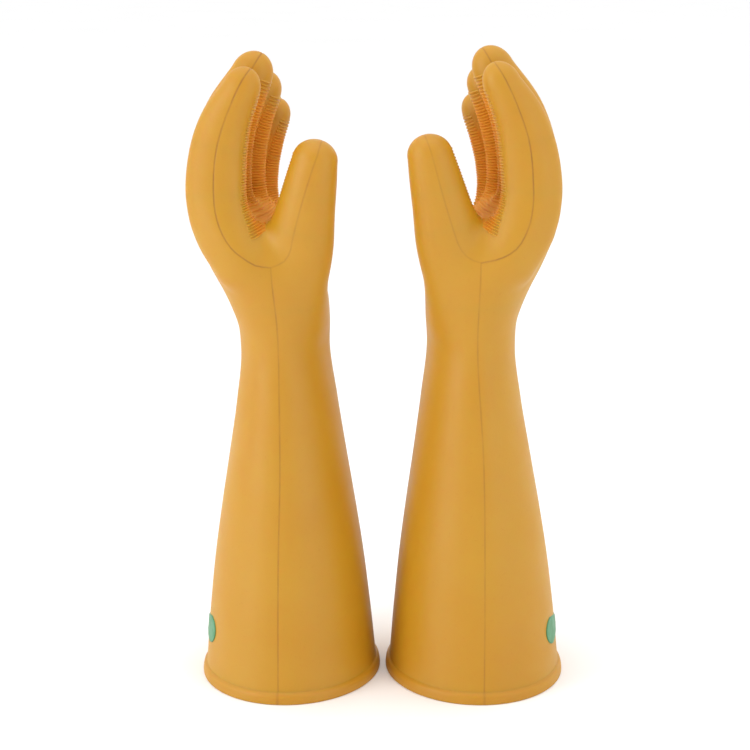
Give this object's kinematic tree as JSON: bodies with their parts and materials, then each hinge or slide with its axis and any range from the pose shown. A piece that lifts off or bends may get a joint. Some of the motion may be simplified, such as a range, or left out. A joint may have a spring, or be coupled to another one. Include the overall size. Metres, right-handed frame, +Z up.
{
  "type": "electrical insulating gloves",
  "caption": "Long flared rubber gauntlet gloves standing palms facing on rolled cuffs, with curved ribbed fingers that flex at moulded creases.",
  "frame": {"origin": "middle of the pair's footprint, on the surface that the cuffs stand on", "axes": "+Z up the gauntlets to the fingertips, -Y the thumb and index side, +X from the left-hand glove to the right-hand glove"},
  "size_m": [0.2724, 0.1546, 0.4661],
  "materials": {
    "glove_rubber": "satin natural rubber",
    "cuff_rubber": "satin natural rubber, rolled rim",
    "class_label": "matt green colour-code patch"
  },
  "bodies": {
    "left_sleeve": {"left_gauntlet": "glove_rubber", "left_cuff_bead": "cuff_rubber", "left_class_label": "class_label"},
    "left_palm": {"left_hand": "glove_rubber"},
    "left_index_base": {"left_index_lower": "glove_rubber"},
    "left_index_end": {"left_index_upper": "glove_rubber"},
    "left_middle_base": {"left_middle_lower": "glove_rubber"},
    "left_middle_end": {"left_middle_upper": "glove_rubber"},
    "left_ring_base": {"left_ring_lower": "glove_rubber"},
    "left_ring_end": {"left_ring_upper": "glove_rubber"},
    "left_little_base": {"left_little_lower": "glove_rubber"},
    "left_little_end": {"left_little_upper": "glove_rubber"},
    "left_thumb_base": {"left_thumb_lower": "glove_rubber"},
    "left_thumb_end": {"left_thumb_upper": "glove_rubber"},
    "right_sleeve": {"right_gauntlet": "glove_rubber", "right_cuff_bead": "cuff_rubber", "right_class_label": "class_label"},
    "right_palm": {"right_hand": "glove_rubber"},
    "right_index_base": {"right_index_lower": "glove_rubber"},
    "right_index_end": {"right_index_upper": "glove_rubber"},
    "right_middle_base": {"right_middle_lower": "glove_rubber"},
    "right_middle_end": {"right_middle_upper": "glove_rubber"},
    "right_ring_base": {"right_ring_lower": "glove_rubber"},
    "right_ring_end": {"right_ring_upper": "glove_rubber"},
    "right_little_base": {"right_little_lower": "glove_rubber"},
    "right_little_end": {"right_little_upper": "glove_rubber"},
    "right_thumb_base": {"right_thumb_lower": "glove_rubber"},
    "right_thumb_end": {"right_thumb_upper": "glove_rubber"}
  },
  "joints": [
    {"name": "left_wrist", "type": "hinge", "parent": "left_sleeve", "child": "left_palm", "pos_m": [-0.06979, 0.00032, 0.25], "axis": [0.1392, 0.9903, 0], "range_deg": [-20, 20], "stiffness_Nm_per_rad": 8},
    {"name": "left_index_base_crease", "type": "hinge", "parent": "left_palm", "child": "left_index_base", "pos_m": [-0.11348, -0.03817, 0.382], "axis": [0.1392, 0.9903, 0], "range_deg": [-10, 30], "stiffness_Nm_per_rad": 1},
    {"name": "left_index_end_crease", "type": "hinge", "parent": "left_index_base", "child": "left_index_end", "pos_m": [-0.10596, -0.03923, 0.41607], "axis": [0.1392, 0.9903, 0], "range_deg": [-8, 35], "stiffness_Nm_per_rad": 0.6},
    {"name": "left_middle_base_crease", "type": "hinge", "parent": "left_palm", "child": "left_middle_base", "pos_m": [-0.11402, -0.00841, 0.38011], "axis": [0.1392, 0.9903, 0], "range_deg": [-10, 30], "stiffness_Nm_per_rad": 1},
    {"name": "left_middle_end_crease", "type": "hinge", "parent": "left_middle_base", "child": "left_middle_end", "pos_m": [-0.107, -0.00939, 0.41274], "axis": [0.1392, 0.9903, 0], "range_deg": [-8, 35], "stiffness_Nm_per_rad": 0.6},
    {"name": "left_ring_base_crease", "type": "hinge", "parent": "left_palm", "child": "left_ring_base", "pos_m": [-0.10328, 0.01997, 0.382], "axis": [0.1392, 0.9903, 0], "range_deg": [-10, 30], "stiffness_Nm_per_rad": 1},
    {"name": "left_ring_end_crease", "type": "hinge", "parent": "left_ring_base", "child": "left_ring_end", "pos_m": [-0.09474, 0.01877, 0.41188], "axis": [0.1392, 0.9903, 0], "range_deg": [-8, 35], "stiffness_Nm_per_rad": 0.6},
    {"name": "left_little_base_crease", "type": "hinge", "parent": "left_palm", "child": "left_little_base", "pos_m": [-0.09283, 0.04739, 0.374], "axis": [0.1392, 0.9903, 0], "range_deg": [-10, 30], "stiffness_Nm_per_rad": 1},
    {"name": "left_little_end_crease", "type": "hinge", "parent": "left_little_base", "child": "left_little_end", "pos_m": [-0.08546, 0.04635, 0.39732], "axis": [0.1392, 0.9903, 0], "range_deg": [-8, 35], "stiffness_Nm_per_rad": 0.6},
    {"name": "left_thumb_base_crease", "type": "hinge", "parent": "left_palm", "child": "left_thumb_base", "pos_m": [-0.05238, -0.04353, 0.356], "axis": [0.1392, 0.9903, 0], "range_deg": [-15, 20], "stiffness_Nm_per_rad": 1},
    {"name": "left_thumb_end_crease", "type": "hinge", "parent": "left_thumb_base", "child": "left_thumb_end", "pos_m": [-0.0474, -0.04804, 0.38247], "axis": [0.1392, 0.9903, 0], "range_deg": [-25, 15], "stiffness_Nm_per_rad": 0.6},
    {"name": "pair_spacing", "type": "slide", "parent": "left_sleeve", "child": "right_sleeve", "axis": [1, 0, 0], "range_m": [0, 0.12]},
    {"name": "right_wrist", "type": "hinge", "parent": "right_sleeve", "child": "right_palm", "pos_m": [0.06517, -0.00038, 0.25217], "axis": [0.0785, -0.9969, 0], "range_deg": [-20, 20], "stiffness_Nm_per_rad": 8},
    {"name": "right_index_base_crease", "type": "hinge", "parent": "right_palm", "child": "right_index_base", "pos_m": [0.1017, -0.04184, 0.38532], "axis": [0.0785, -0.9969, 0], "range_deg": [-10, 30], "stiffness_Nm_per_rad": 1},
    {"name": "right_index_end_crease", "type": "hinge", "parent": "right_index_base", "child": "right_index_end", "pos_m": [0.09281, -0.04254, 0.41969], "axis": [0.0785, -0.9969, 0], "range_deg": [-8, 35], "stiffness_Nm_per_rad": 0.6},
    {"name": "right_middle_base_crease", "type": "hinge", "parent": "right_palm", "child": "right_middle_base", "pos_m": [0.10414, -0.01216, 0.38342], "axis": [0.0785, -0.9969, 0], "range_deg": [-10, 30], "stiffness_Nm_per_rad": 1},
    {"name": "right_middle_end_crease", "type": "hinge", "parent": "right_middle_base", "child": "right_middle_end", "pos_m": [0.0958, -0.01282, 0.41633], "axis": [0.0785, -0.9969, 0], "range_deg": [-8, 35], "stiffness_Nm_per_rad": 0.6},
    {"name": "right_ring_base_crease", "type": "hinge", "parent": "right_palm", "child": "right_ring_base", "pos_m": [0.09508, 0.01682, 0.38532], "axis": [0.0785, -0.9969, 0], "range_deg": [-10, 30], "stiffness_Nm_per_rad": 1},
    {"name": "right_ring_end_crease", "type": "hinge", "parent": "right_ring_base", "child": "right_ring_end", "pos_m": [0.08532, 0.01605, 0.41546], "axis": [0.0785, -0.9969, 0], "range_deg": [-8, 35], "stiffness_Nm_per_rad": 0.6},
    {"name": "right_little_base_crease", "type": "hinge", "parent": "right_palm", "child": "right_little_base", "pos_m": [0.08662, 0.04484, 0.37725], "axis": [0.0785, -0.9969, 0], "range_deg": [-10, 30], "stiffness_Nm_per_rad": 1},
    {"name": "right_little_end_crease", "type": "hinge", "parent": "right_little_base", "child": "right_little_end", "pos_m": [0.07831, 0.04419, 0.40077], "axis": [0.0785, -0.9969, 0], "range_deg": [-8, 35], "stiffness_Nm_per_rad": 0.6},
    {"name": "right_thumb_base_crease", "type": "hinge", "parent": "right_palm", "child": "right_thumb_base", "pos_m": [0.04138, -0.04338, 0.3591], "axis": [0.0785, -0.9969, 0], "range_deg": [-15, 20], "stiffness_Nm_per_rad": 1},
    {"name": "right_thumb_end_crease", "type": "hinge", "parent": "right_thumb_base", "child": "right_thumb_end", "pos_m": [0.03513, -0.04765, 0.38579], "axis": [0.0785, -0.9969, 0], "range_deg": [-25, 15], "stiffness_Nm_per_rad": 0.6}
  ]
}
